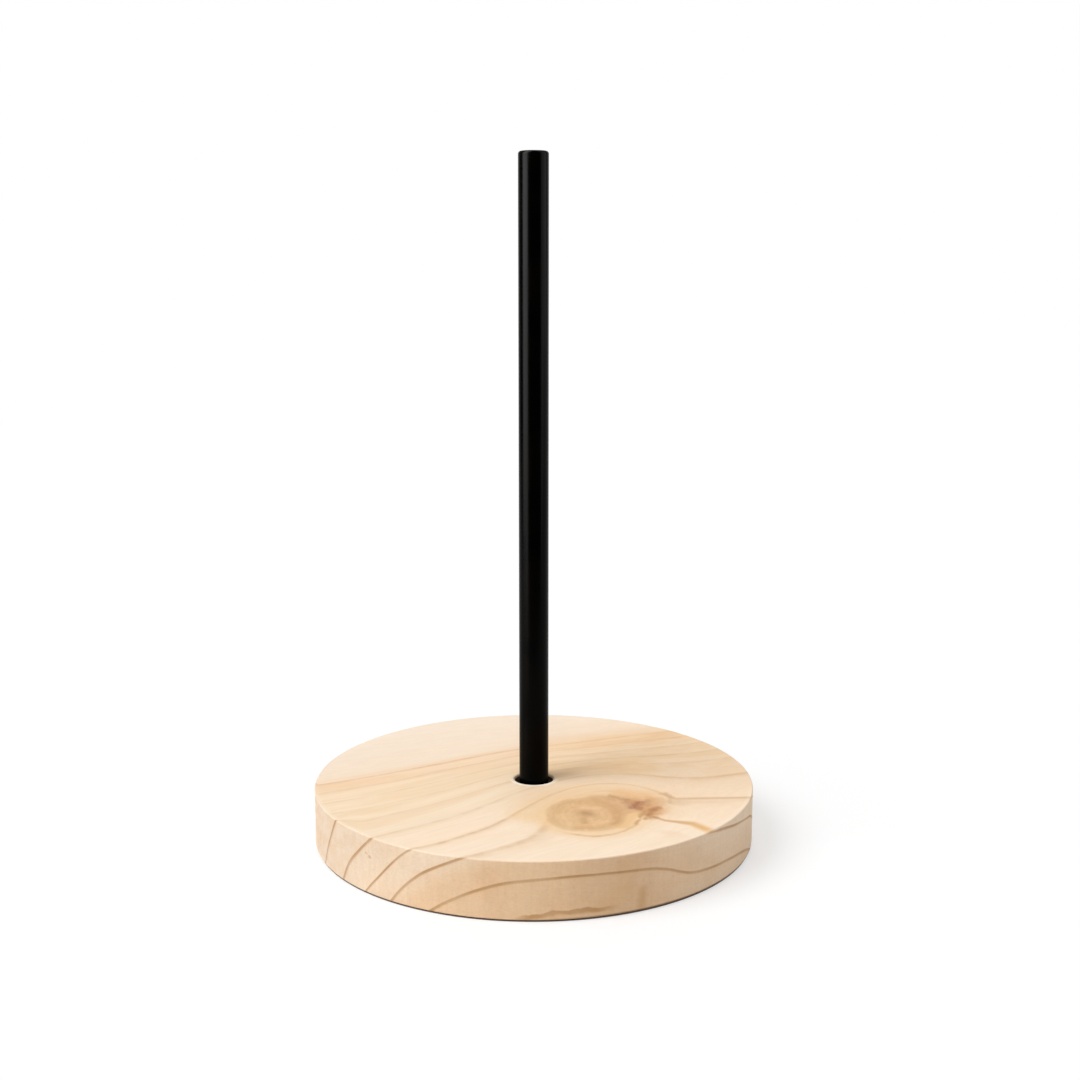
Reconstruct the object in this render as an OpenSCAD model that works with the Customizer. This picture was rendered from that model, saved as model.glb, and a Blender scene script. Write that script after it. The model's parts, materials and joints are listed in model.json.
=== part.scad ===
// Thread spool holder: a round pine base with a black steel spindle that turns in a hidden ball bearing.
// Millimetres. Z is up, and the origin is the centre of the underside, on the table.

/* [Base] */
// Diameter of the wooden base
base_d = 120; // [90:1:180]
// Thickness of the wooden base
base_t = 15; // [13:0.5:25]
// Rounding of the base's upper rim
base_upper_r = 0.6; // [0.2:0.1:2]
// Rounding of the base's lower rim
base_lower_r = 0.3; // [0.2:0.1:2]
// Room between the spindle and the wood, all round
mouth_gap = 1.3; // [0.5:0.1:2.5]
// Bevel of the edge round the spindle's hole
mouth_bevel = 0.5; // [0.1:0.1:1]

/* [Spindle] */
// Diameter of the spindle
rod_d = 8; // [7:0.1:9.5]
// Height of the spindle above the base
rod_above = 168.5; // [80:0.5:260]
// Rounding of the spindle's upper edge
tip_r = 0.8; // [0.2:0.1:2]

/* [Bearing] */
// Bore of the bearing, and so the size of the spindle's journal
bearing_bore = 6; // [5:0.1:6.5]
// Outer diameter of the bearing
bearing_d = 19; // [18:0.1:22]
// Width of the bearing
bearing_w = 6; // [5.6:0.1:7.5]
// Diameter of one ball
ball_d = 3.5; // [3:0.1:3.8]
// Number of balls
ball_count = 7; // [5:1:8]
// Depth of the groove that the balls run in
groove_depth = 0.5; // [0.3:0.05:0.7]
// Radial thickness of the cage that spaces the balls
cage_wall = 1.3; // [0.8:0.1:1.5]
// How far the cage's prongs reach above the balls' centres
cage_prong = 0.4; // [0.2:0.1:1]
// Thickness of a dust shield
shield_t = 0.25; // [0.15:0.05:0.3]
// How far a shield seats into the outer ring
shield_seat = 0.6; // [0.3:0.1:0.8]

/* [Retainer] */
// Thickness of the steel plate that holds the bearing up
plate_t = 1.2; // [0.8:0.1:2]
// Width of plate between the bearing's pocket and a screw head
plate_inner_margin = 1.25; // [0.5:0.05:3]
// Width of plate between a screw head and the plate's rim
plate_outer_margin = 1.25; // [0.5:0.05:5]
// Number of screws in the plate
plate_screw_count = 3; // [3:1:6]
// Diameter of a plate screw's shank
plate_screw_d = 2.5; // [2:0.1:3]
// Length of a plate screw under its head
plate_screw_l = 7; // [5:0.5:9]
// Diameter of the flat on a plate screw's point
plate_screw_point_d = 0.4; // [0.2:0.1:0.8]
// Diameter of a plate screw's head
plate_screw_head_d = 5; // [4:0.1:6]
// Height of a plate screw's head
plate_screw_head_h = 1.1; // [0.9:0.1:1.4]
// Rounding of a plate screw's head
plate_screw_head_r = 0.55; // [0.2:0.05:0.8]
// Depth of the cross recess in a plate screw's head
cross_depth = 0.6; // [0.3:0.1:0.7]
// Width of the cross recess's arms
cross_w = 0.7; // [0.4:0.1:1]

/* [Spindle screw] */
// Thread diameter of the screw in the spindle's lower end
end_screw_d = 3; // [2.5:0.1:3.5]
// Length of that screw under its head
end_screw_l = 8; // [6:0.5:12]
// Diameter of its head
end_screw_head_d = 6; // [5:0.1:7]
// Height of its head
end_screw_head_h = 1.2; // [1:0.1:1.6]
// Rounding of its head
end_screw_head_r = 0.35; // [0.1:0.05:0.6]
// Width across the flats of its hexagon socket
socket_w = 2; // [1.5:0.1:2.5]
// Depth of its hexagon socket
socket_depth = 0.7; // [0.4:0.1:0.8]
// How far the washer stays back from the inner ring's edge
washer_back = 0.5; // [0.2:0.1:1]
// Thickness of the washer
washer_t = 0.8; // [0.5:0.1:1.2]

/* [Non-slip disc] */
// Thickness of the rubber disc under the base
disc_t = 0.5; // [0.3:0.1:2]
// How far the disc stays back from the base's side
disc_inset = 0.4; // [0.3:0.1:4]

/* [Fits] */
// Room round a piece that is pressed or set in
press_gap = 0.02; // [0.01:0.01:0.05]
// Room between a ball and each groove
ball_gap = 0.05; // [0.03:0.01:0.1]
// Room between a ball and its pocket in the cage
pocket_gap = 0.12; // [0.08:0.01:0.2]
// Room between the cage and the lower shield
cage_gap = 0.2; // [0.1:0.05:0.35]
// Room between a shield and the inner ring
shield_gap = 0.2; // [0.1:0.05:0.3]
// Room round a screw in its hole
screw_gap = 0.1; // [0.05:0.05:0.2]
// Room between what turns and the wood, the washer's end of the spindle or the disc
turn_gap = 0.4; // [0.3:0.05:0.6]

/* [Hidden] */
$fn = 96;

// Radius of a groove's arc as a share of the ball's diameter, so that a ball touches it on a line
groove_share = 0.52;
// Length of a cutter past the face that it opens
over = 1;

// Heights, from the table up
base_z = disc_t;
base_top_z = base_z + base_t;
rod_top_z = base_top_z + rod_above;

// The recess under the bearing takes the plate with its screw heads, and the washer with the spindle's screw
recess_depth = max(plate_t + plate_screw_head_h + screw_gap, washer_t + end_screw_head_h + turn_gap);
bearing_z = base_z + recess_depth;
bearing_mid_z = bearing_z + bearing_w / 2;
bearing_top_z = bearing_z + bearing_w;
plate_z = bearing_z - plate_t;
washer_z = bearing_z - washer_t;

// The bearing's radii, from the balls' circle outwards and inwards
ball_r = ball_d / 2;
pitch_r = (bearing_bore + bearing_d) / 4;
groove_r = ball_d * groove_share;
inner_groove_floor_r = pitch_r - ball_r - ball_gap;
outer_groove_floor_r = pitch_r + ball_r + ball_gap;
inner_land_r = inner_groove_floor_r + groove_depth;
outer_land_r = outer_groove_floor_r - groove_depth;
shield_inner_r = inner_land_r + shield_gap;
shield_outer_r = outer_land_r + shield_seat;
shield_seat_depth = 2 * shield_t;

// The plate's circles, from the bearing's pocket outwards
pocket_r = bearing_d / 2 + press_gap;
plate_screw_x = pocket_r + plate_inner_margin + plate_screw_head_d / 2;
plate_r = plate_screw_x + plate_screw_head_d / 2 + plate_outer_margin;
washer_r = inner_land_r - washer_back;

// Name of the node that holds ball i
function ball_node(i) = str("bearing_ball_", i);

// Half profile, from the axis outwards, of a round piece whose two rims are rounded
module turned_profile(r, h, lower_r, upper_r) {
  translate([0, lower_r]) square([r, h - lower_r - upper_r]);
  square([r - lower_r, h - upper_r]);
  translate([0, lower_r]) square([r - upper_r, h - lower_r]);
  if (lower_r > 0) translate([r - lower_r, lower_r]) circle(lower_r);
  if (upper_r > 0) translate([r - upper_r, h - upper_r]) circle(upper_r);
}

// A flat ring on the axis that stands on height z
module flat_ring(z, outer_r, inner_r, h) {
  translate([0, 0, z]) difference() {
    cylinder(r = outer_r, h = h);
    translate([0, 0, -over]) cylinder(r = inner_r, h = h + 2 * over);
  }
}

// Puts its children at each of the plate's screws, with their zero at the plate's lower face
module at_plate_screws() {
  for (i = [0 : plate_screw_count - 1])
    rotate(i * 360 / plate_screw_count) translate([plate_screw_x, 0, plate_z]) children();
}

// Puts its children at the centre of ball i
module at_ball(i) {
  rotate((i - 1) * 360 / ball_count) translate([pitch_r, 0, bearing_mid_z]) children();
}

// A plate screw's shank and point, with some room all round where it is the hole for them
module plate_screw_shank(room) {
  shank_r = plate_screw_d / 2 + room;
  point_h = plate_screw_d;
  in_head = plate_screw_head_h / 2;
  translate([0, 0, -in_head]) cylinder(r = shank_r, h = in_head + plate_screw_l - point_h);
  translate([0, 0, plate_screw_l - point_h])
    cylinder(r1 = shank_r, r2 = plate_screw_point_d / 2 + room, h = point_h + room);
}

// The pine base. Its hole is stepped: mouth, relief over the inner ring, bearing pocket and plate recess
module base() {
  mouth_r = rod_d / 2 + mouth_gap;
  relief_r = max(shield_outer_r, mouth_r);
  color("burlywood") difference() {
    translate([0, 0, base_z]) rotate_extrude() turned_profile(base_d / 2, base_t, base_lower_r, base_upper_r);
    translate([0, 0, bearing_mid_z]) cylinder(r = mouth_r, h = base_top_z - bearing_mid_z + over);
    translate([0, 0, base_top_z - mouth_bevel])
      cylinder(r1 = mouth_r, r2 = mouth_r + mouth_bevel + over, h = mouth_bevel + over);
    translate([0, 0, bearing_mid_z]) cylinder(r = relief_r, h = bearing_w / 2 + turn_gap);
    translate([0, 0, base_z - over]) cylinder(r = pocket_r, h = recess_depth + bearing_w + over);
    translate([0, 0, base_z - over]) cylinder(r = plate_r + screw_gap, h = recess_depth + over);
    at_plate_screws() plate_screw_shank(screw_gap);
  }
}

// The black spindle. Its shoulder stands on the inner ring, and its journal ends short of the washer,
// so that the screw clamps the ring between the two
module spindle_rod() {
  journal_z = bearing_z + turn_gap;
  hole_top_z = washer_z + end_screw_l + screw_gap;
  color("black") difference() {
    union() {
      translate([0, 0, bearing_top_z]) rotate_extrude()
        turned_profile(rod_d / 2, rod_top_z - bearing_top_z, 0, tip_r);
      translate([0, 0, journal_z])
        cylinder(r = bearing_bore / 2 - press_gap, h = bearing_top_z - journal_z + over);
    }
    translate([0, 0, washer_z]) cylinder(r = end_screw_d / 2 + screw_gap, h = hole_top_z - washer_z);
  }
}

// The outer ring, with its groove and a step at each face for the shield
module bearing_outer_ring() {
  color("lightsteelblue") rotate_extrude() difference() {
    translate([outer_land_r, bearing_z]) square([bearing_d / 2 - outer_land_r, bearing_w]);
    translate([outer_groove_floor_r - groove_r, bearing_mid_z]) circle(groove_r);
    for (z = [bearing_z - over, bearing_top_z - shield_seat_depth])
      translate([0, z]) square([shield_outer_r + press_gap, shield_seat_depth + over]);
  }
}

// The inner ring, which the spindle's screw clamps and which turns with it
module bearing_inner_ring() {
  color("lightsteelblue") rotate_extrude() difference() {
    translate([bearing_bore / 2, bearing_z]) square([inner_land_r - bearing_bore / 2, bearing_w]);
    translate([inner_groove_floor_r + groove_r, bearing_mid_z]) circle(groove_r);
  }
}

module bearing_ball(i) {
  color("silver") at_ball(i) sphere(r = ball_r);
}

// A crown: one ring below the balls, with prongs that stand up between them
module bearing_cage() {
  cage_z = bearing_z + shield_seat_depth + cage_gap;
  color("goldenrod") difference() {
    flat_ring(cage_z, pitch_r + cage_wall / 2, pitch_r - cage_wall / 2, bearing_mid_z + cage_prong - cage_z);
    for (i = [1 : ball_count]) at_ball(i) sphere(r = ball_r + pocket_gap);
  }
}

// A shield stands on its seat, back from the bearing's face by its own thickness
module bearing_upper_shield() {
  color("silver") flat_ring(bearing_top_z - shield_seat_depth, shield_outer_r, shield_inner_r, shield_t);
}

module bearing_lower_shield() {
  color("silver") flat_ring(bearing_z + shield_seat_depth - shield_t, shield_outer_r, shield_inner_r, shield_t);
}

// The plate bears on the outer ring alone: its opening clears the shield and the washer
module bearing_retainer() {
  opening_r = max(shield_outer_r, washer_r + turn_gap);
  color("gainsboro") difference() {
    flat_ring(plate_z, plate_r, opening_r, plate_t);
    at_plate_screws() plate_screw_shank(screw_gap);
  }
}

module retainer_screws() {
  color("silver") at_plate_screws() difference() {
    union() {
      translate([0, 0, -plate_screw_head_h]) rotate_extrude()
        turned_profile(plate_screw_head_d / 2, plate_screw_head_h, plate_screw_head_r, 0);
      plate_screw_shank(0);
    }
    for (turn = [0, 90])
      rotate(turn) translate([-plate_screw_d / 2, -cross_w / 2, -plate_screw_head_h - over])
        cube([plate_screw_d, cross_w, cross_depth + over]);
  }
}

module spindle_washer() {
  color("silver") flat_ring(washer_z, washer_r, end_screw_d / 2 + screw_gap, washer_t);
}

module spindle_screw() {
  head_z = washer_z - end_screw_head_h;
  color("dimgray") translate([0, 0, head_z]) difference() {
    union() {
      rotate_extrude() turned_profile(end_screw_head_d / 2, end_screw_head_h, end_screw_head_r, 0);
      cylinder(r = end_screw_d / 2, h = end_screw_head_h + end_screw_l);
    }
    translate([0, 0, -over]) cylinder(d = socket_w / cos(30), h = socket_depth + over, $fn = 6);
  }
}

// The rubber disc, which covers the recess and keeps the base from sliding
module non_slip_disc() {
  color("dimgray") cylinder(r = base_d / 2 - disc_inset, h = disc_t);
}

base();
spindle_rod();
bearing_outer_ring();
bearing_inner_ring();
bearing_cage();
bearing_upper_shield();
bearing_lower_shield();
bearing_retainer();
retainer_screws();
spindle_washer();
spindle_screw();
non_slip_disc();
for (i = [1 : ball_count]) bearing_ball(i);
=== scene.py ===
# %% [markdown]
# # A thread spool holder
#
# The object is small and plain: a round pine base, a black steel spindle, and a ball bearing hidden in
# the wood. A plain object lives by its surfaces, so most of this lesson goes into the pine. The CAD
# pieces come in first as a fixed frame, in metres, and everything below is made to fit them.

# %% Load the frame
import json
import math
import bmesh
import bpy
from mathutils import Matrix, Vector


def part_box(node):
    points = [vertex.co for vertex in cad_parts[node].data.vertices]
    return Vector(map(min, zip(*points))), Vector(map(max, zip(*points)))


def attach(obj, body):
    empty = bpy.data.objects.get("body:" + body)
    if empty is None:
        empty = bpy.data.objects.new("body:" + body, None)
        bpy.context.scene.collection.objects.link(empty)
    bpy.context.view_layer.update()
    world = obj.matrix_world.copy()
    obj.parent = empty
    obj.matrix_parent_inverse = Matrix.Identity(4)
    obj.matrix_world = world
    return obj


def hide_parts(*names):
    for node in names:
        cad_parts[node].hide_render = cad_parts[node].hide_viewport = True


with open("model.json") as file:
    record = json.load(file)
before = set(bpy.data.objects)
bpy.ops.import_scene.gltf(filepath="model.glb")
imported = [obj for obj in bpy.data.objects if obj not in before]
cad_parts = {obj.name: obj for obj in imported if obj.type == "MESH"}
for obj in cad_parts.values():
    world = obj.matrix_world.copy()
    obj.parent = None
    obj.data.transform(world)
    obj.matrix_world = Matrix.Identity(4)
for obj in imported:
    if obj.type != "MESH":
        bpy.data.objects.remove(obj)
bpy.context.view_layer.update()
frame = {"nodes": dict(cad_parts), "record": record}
MM = 0.001
CM3 = 0.000001


# %% [markdown]
# ## Camera
#
# The camera comes first, because every later choice is judged through it. Its place was worked out from
# the two rims of the base and the two ends of the spindle: it stands a forearm's length in front of the
# spindle, at most of its height, and looks a little down.

# %% Camera
CAMERA_BACK = 410 * MM
CAMERA_HEIGHT = 158 * MM
LOOK_DOWN = math.radians(10.45)
LOOK_RIGHT = math.radians(0.235)
LENS = 51.74
SENSOR = 36.0

camera_data = bpy.data.cameras.new("photo_camera")
camera_data.lens = LENS
camera_data.sensor_width = SENSOR
camera = bpy.data.objects.new("photo_camera", camera_data)
turned_camera = Matrix.Rotation(-LOOK_RIGHT, 4, "Z") @ Matrix.Rotation(math.pi / 2 - LOOK_DOWN, 4, "X")
camera.matrix_world = Matrix.Translation((0, -CAMERA_BACK, CAMERA_HEIGHT)) @ turned_camera
bpy.context.scene.collection.objects.link(camera)
bpy.context.scene.camera = camera
print("the camera stands", round(CAMERA_BACK / MM), "mm from the spindle")

# %% [markdown]
# ## A desk for wiring nodes
#
# Materials and Geometry Nodes are small programs made of nodes. Written out in full, each node takes four
# or five lines, so this helper shortens them: it places a node, fills its inputs with numbers or wires,
# and hands back the output. Colours are written as they look on a screen, 0 to 255, and turned into the
# linear values that the renderer works in. Numbers that go into a call together, such as a noise's
# fineness and detail, are kept under one name, in the order of that call.

# %% Colours
def screen_colour(red, green, blue):
    """A colour as it looks on a screen, taken back through the sRGB curve."""
    def linear(value):
        share = value / 255
        return share / 12.92 if share <= 0.04045 else ((share + 0.055) / 1.055) ** 2.4
    return (linear(red), linear(green), linear(blue), 1.0)


def grey(value):
    return (value, value, value, 1.0)


def tints(stops):
    return [(place, screen_colour(*tint)) for place, tint in stops]


def greys(stops):
    return [(place, grey(value)) for place, value in stops]


# %% Node helper
class NodeDesk:
    """Places nodes in one tree and wires them together."""

    def __init__(self, tree):
        self.tree = tree

    def put(self, kind, inputs=None, **settings):
        """Places a node with its settings and fills its inputs."""
        node = self.tree.nodes.new(kind)
        for name, value in settings.items():
            setattr(node, name, value)
        self.fill(node, inputs or {})
        return node

    def fill(self, node, inputs):
        """Gives each input, by name or number, a constant or a wire."""
        for key, value in inputs.items():
            if isinstance(value, bpy.types.NodeSocket):
                self.tree.links.new(value, node.inputs[key])
            else:
                node.inputs[key].default_value = value

    def math(self, operation, *values):
        return self.put("ShaderNodeMath", dict(enumerate(values)), operation=operation).outputs[0]

    def times(self, product, *factors):
        for factor in factors:
            product = self.math("MULTIPLY", product, factor)
        return product

    def plus(self, total, *terms):
        for term in terms:
            total = self.math("ADD", total, term)
        return total

    def vector_math(self, operation, *values):
        node = self.put("ShaderNodeVectorMath", dict(enumerate(values)), operation=operation)
        return node.outputs["Value" if operation in ("LENGTH", "DOT_PRODUCT") else "Vector"]

    def split(self, vector):
        return self.put("ShaderNodeSeparateXYZ", {0: vector}).outputs

    def join(self, x, y, z):
        return self.put("ShaderNodeCombineXYZ", {0: x, 1: y, 2: z}).outputs[0]

    def length(self, x, y, z):
        return self.vector_math("LENGTH", self.join(x, y, z))

    def rise(self, value, low, high, to_low=0.0, to_high=1.0):
        """A smooth step: to_low up to low, to_high from high on."""
        inputs = {"Value": value, "From Min": low, "From Max": high, "To Min": to_low, "To Max": to_high}
        return self.put("ShaderNodeMapRange", inputs, interpolation_type="SMOOTHSTEP").outputs["Result"]

    def fall(self, value, low, high):
        """A smooth step down: 1 up to low, 0 from high on."""
        return self.rise(value, low, high, 1.0, 0.0)

    def noise(self, place, fineness, detail):
        inputs = {"Vector": place, "Scale": fineness, "Detail": detail}
        return self.put("ShaderNodeTexNoise", inputs).outputs["Fac"]

    def patches(self, place, fineness, detail, low, high, to_low=0.0, to_high=1.0):
        """Noise that is put through a smooth step."""
        return self.rise(self.noise(place, fineness, detail), low, high, to_low, to_high)

    def shake(self, place, fineness, detail, depth):
        """Noise that goes up to a depth either way."""
        return self.math("MULTIPLY_ADD", self.noise(place, fineness, detail), 2 * depth, -depth)

    def ramp(self, factor, stops, interpolation="LINEAR"):
        node = self.put("ShaderNodeValToRGB", {"Fac": factor})
        node.color_ramp.interpolation = interpolation
        marks = node.color_ramp.elements
        while len(marks) < len(stops):
            marks.new(0.5)
        for mark, (place, colour) in zip(marks, stops):
            mark.position = place
            mark.color = colour
        return node.outputs["Color"]

    def mix(self, factor, below, above, blend="MIX"):
        """Mixes two colours. Inputs 6 and 7 and output 2 are the node's colour sockets."""
        inputs = {"Factor": factor, 6: below, 7: above}
        return self.put("ShaderNodeMix", inputs, data_type="RGBA", blend_type=blend).outputs[2]

    def bump(self, height, depth, strength):
        inputs = {"Height": height, "Distance": depth, "Strength": strength}
        return self.put("ShaderNodeBump", inputs).outputs["Normal"]


# %% Materials and groups
def new_material(name):
    material = bpy.data.materials.new(name)
    material.use_nodes = True
    return material, NodeDesk(material.node_tree), material.node_tree.nodes["Principled BSDF"]


def place_in_mm(desk):
    """The surface point in the object's own frame, in millimetres."""
    coordinates = desk.put("ShaderNodeTexCoord").outputs["Object"]
    return desk.vector_math("MULTIPLY", coordinates, (1 / MM, 1 / MM, 1 / MM))


def add_sockets(tree, in_out, sockets):
    """Gives a node group its named inputs or outputs."""
    for name, kind in sockets.items():
        tree.interface.new_socket(name=name, in_out=in_out, socket_type="NodeSocket" + kind)


# %% [markdown]
# ## Studio
#
# The stage is a white table in a white studio, with one large soft light high on the left, a little in
# front. A sun lamp with a wide disc stands for that light: it throws the same soft shadow as a big
# softbox and, unlike one, lights the far end of the table as brightly as the near end. The camera sees a
# white room all round. A gloss sees more of a real studio: the white sweep behind, the tall softbox at
# the left, a paler panel at the right, and the dark room in front, which keeps the black spindle black.

# %% Light
KEY_FROM = Vector((-0.66, -0.27, 0.80))
KEY_SPREAD = math.radians(40)
KEY_LEVEL = 0.55

key_data = bpy.data.lights.new("key_light", "SUN")
key_data.angle = KEY_SPREAD
key_data.energy = KEY_LEVEL * math.pi
key_light = bpy.data.objects.new("key_light", key_data)
key_light.rotation_mode = "QUATERNION"
key_light.rotation_quaternion = KEY_FROM.to_track_quat("Z", "Y")
bpy.context.scene.collection.objects.link(key_light)
bpy.context.scene.view_settings.view_transform = "Standard"
print("the key light comes from", [round(value, 2) for value in KEY_FROM.normalized()])

# %% Room
FILL_LEVEL = 0.615
FILL_COLOUR = (1.0, 0.95, 0.89, 1.0)
DARK_ROOM = 0.02
SWEEP_DEPTHS = (0.35, 0.8)
SOFTBOX_SIDE = Vector((-0.91, -0.42, 0.0))
SOFTBOX_ANGLES = (14, 10)
SOFTBOX_FOOT = (-0.35, 0.12)
SOFTBOX_GLARE = 18.0
PANEL_SIDE = Vector((0.996, -0.09, 0.0))
PANEL_ANGLES = (18, 14)
PANEL_GLARE = 3.3


def upright_light(desk, flat_way, side, full_width, edge):
    """1 for level directions within full_width of a side, fading to 0 over edge, both in degrees."""
    cosine = desk.vector_math("DOT_PRODUCT", flat_way, tuple(side))
    gone, full = (math.cos(math.radians(angle)) for angle in (full_width + edge, full_width))
    return desk.rise(cosine, gone, full)


def room_in_a_gloss(desk):
    across, depth, up = desk.split(desk.put("ShaderNodeTexCoord").outputs["Generated"])
    flat_way = desk.vector_math("NORMALIZE", desk.join(across, depth, 0.0))
    sweep = desk.rise(depth, *SWEEP_DEPTHS, DARK_ROOM, 1.0)
    softbox = desk.times(upright_light(desk, flat_way, SOFTBOX_SIDE, *SOFTBOX_ANGLES),
                         desk.rise(up, *SOFTBOX_FOOT, 0.0, SOFTBOX_GLARE))
    panel = desk.times(upright_light(desk, flat_way, PANEL_SIDE, *PANEL_ANGLES), PANEL_GLARE)
    return desk.plus(sweep, softbox, panel)


world = bpy.data.worlds.new("studio")
world.use_nodes = True
world_desk = NodeDesk(world.node_tree)
path = world_desk.put("ShaderNodeLightPath").outputs
seen = world_desk.math("MAXIMUM", path["Is Camera Ray"], path["Is Transmission Ray"])
level = world_desk.rise(path["Is Glossy Ray"], 0, 1, FILL_LEVEL, room_in_a_gloss(world_desk))
level = world_desk.rise(seen, 0, 1, level, 1.0)
not_fill = world_desk.math("MAXIMUM", seen, path["Is Glossy Ray"])
room_colour = world_desk.mix(not_fill, FILL_COLOUR, grey(1.0))
world_desk.fill(world.node_tree.nodes["Background"], {"Color": room_colour, "Strength": level})
bpy.context.scene.world = world
print("the room has", len(world.node_tree.nodes), "nodes")

# %% [markdown]
# ## White table
#
# The table takes the shadow, and where nothing shades it, it has to melt into the white room. Part of its
# white is therefore a soft glow that only the camera and reflections see. Light that bounces off it on to
# the wood meets a plain pale grey instead. It ends just in front of the holder, where the picture ends,
# and from below it can be looked through.

# %% Table
TABLE_LEFT = -0.5
TABLE_RIGHT = 3.0
TABLE_FRONT = -0.2
TABLE_BACK = 3.0
TABLE_DROP = 0.05 * MM
TABLE_WHITE = (0.485, 0.50, 0.52, 1.0)
TABLE_BOUNCE = (0.62, 0.60, 0.57, 1.0)
TABLE_GLOW = 0.52


def table_material():
    material, desk, shader = new_material("white_table")
    material.node_tree.nodes.remove(shader)
    bounce = desk.put("ShaderNodeBsdfDiffuse", {"Color": TABLE_BOUNCE})
    white = desk.put("ShaderNodeBsdfDiffuse", {"Color": TABLE_WHITE})
    glow = desk.put("ShaderNodeEmission", {"Strength": TABLE_GLOW})
    bright = desk.put("ShaderNodeAddShader", {0: white.outputs[0], 1: glow.outputs[0]})
    ray = desk.put("ShaderNodeLightPath").outputs
    shown = desk.math("MAXIMUM", ray["Is Camera Ray"], ray["Is Glossy Ray"])
    shown = desk.math("MAXIMUM", shown, ray["Is Transmission Ray"])
    above = desk.put("ShaderNodeMixShader", {0: shown, 1: bounce.outputs[0], 2: bright.outputs[0]})
    underneath = desk.put("ShaderNodeNewGeometry").outputs["Backfacing"]
    clear = desk.put("ShaderNodeBsdfTransparent")
    surface = desk.put("ShaderNodeMixShader", {0: underneath, 1: above.outputs[0], 2: clear.outputs[0]})
    desk.fill(material.node_tree.nodes["Material Output"], {"Surface": surface.outputs[0]})
    return material


table_corners = [(TABLE_LEFT, TABLE_FRONT), (TABLE_RIGHT, TABLE_FRONT), (TABLE_RIGHT, TABLE_BACK),
                 (TABLE_LEFT, TABLE_BACK)]
table_mesh = bpy.data.meshes.new("white_table")
table_mesh.from_pydata([(x, y, -TABLE_DROP) for x, y in table_corners], [], [(0, 1, 2, 3)])
table_mesh.materials.append(table_material())
table = bpy.data.objects.new("white_table", table_mesh)
bpy.context.scene.collection.objects.link(table)
print("the table ends", round(-TABLE_FRONT / MM), "mm in front of the spindle")

# %% [markdown]
# ## The lathe
#
# The base and the spindle are both turned: each is one outline, taken once round the axis. A lathe tree
# in Geometry Nodes does just that. It lays a flat grid, one row for each step of the turn and one column
# for each point of the outline, bends every row to its own angle, and merges the points that meet at the
# seam and on the axis. The outline is a list of corners, and each corner has its own rounding.

# %% Outline with eased corners
ARC_STEPS = 7
SUPPORT_SHARE = 0.35


def eased_outline(corners, closed):
    """Rounds each corner (radius, height, easing) of an outline. Sizes are in millimetres."""
    points = []
    for index, (radius, height, easing) in enumerate(corners):
        corner = Vector((radius, height))
        if easing == 0:
            points.append(corner)
            continue
        before = Vector(corners[index - 1][:2])
        after = Vector(corners[(index + 1) % len(corners)][:2])
        back = (before - corner).normalized()
        ahead = (after - corner).normalized()
        points.append(corner + back * easing * (1 + SUPPORT_SHARE))
        centre = corner + (back + ahead) * easing
        for step in range(ARC_STEPS + 1):
            turn = step / ARC_STEPS * math.pi / 2
            points.append(centre - ahead * easing * math.cos(turn) - back * easing * math.sin(turn))
        points.append(corner + ahead * easing * (1 + SUPPORT_SHARE))
    if closed:
        points.append(points[0])
    return [(point.x * MM, 0, point.y * MM) for point in points]


# %% Lathe tree
SEAM_GAP = 0.0005 * MM


def lathe_tree():
    tree = bpy.data.node_groups.new("lathe", "GeometryNodeTree")
    desk = NodeDesk(tree)
    add_sockets(tree, "INPUT", {"Outline": "Geometry", "Turn Steps": "Int", "Finish": "Material"})
    add_sockets(tree, "OUTPUT", {"Turned Piece": "Geometry"})
    given = desk.put("NodeGroupInput").outputs
    count = desk.put("GeometryNodeAttributeDomainSize", {"Geometry": given["Outline"]})
    points = count.outputs["Point Count"]
    rows = desk.plus(given["Turn Steps"], 1)
    grid = desk.put("GeometryNodeMeshGrid", {"Vertices X": rows, "Vertices Y": points})
    number = desk.put("GeometryNodeInputIndex").outputs[0]
    step = desk.math("FLOOR", desk.math("DIVIDE", desk.plus(number, 0.5), points))
    outline_point = desk.math("SUBTRACT", number, desk.times(step, points))
    position = desk.put("GeometryNodeInputPosition").outputs[0]
    looked_up = {"Geometry": given["Outline"], "Value": position, "Index": outline_point}
    sample = desk.put("GeometryNodeSampleIndex", data_type="FLOAT_VECTOR")
    desk.fill(sample, looked_up)
    radius, _, height = desk.split(sample.outputs["Value"])
    angle = desk.times(desk.math("DIVIDE", step, given["Turn Steps"]), 2 * math.pi)
    across = desk.times(radius, desk.math("COSINE", angle))
    along = desk.times(radius, desk.math("SINE", angle))
    bent = desk.join(across, along, height)
    bend = desk.put("GeometryNodeSetPosition", {"Geometry": grid.outputs["Mesh"], "Position": bent})
    weld = desk.put("GeometryNodeMergeByDistance", {"Geometry": bend.outputs[0], "Distance": SEAM_GAP})
    plain = desk.put("GeometryNodeRealizeInstances", {0: weld.outputs[0]})
    dressed = {"Geometry": plain.outputs[0], "Material": given["Finish"]}
    finish = desk.put("GeometryNodeSetMaterial", dressed)
    desk.put("NodeGroupOutput", {0: finish.outputs[0]})
    return tree


LATHE = lathe_tree()
print("the lathe tree has", len(LATHE.nodes), "nodes")

# %% Turning a piece
SHARP_ANGLE = math.radians(30)


def set_input(modifier, name, value):
    """A modifier's inputs go by identifier, so this looks the identifier up by name."""
    for socket in modifier.node_group.interface.items_tree:
        if socket.name == name and socket.in_out == "INPUT":
            modifier[socket.identifier] = value


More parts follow.
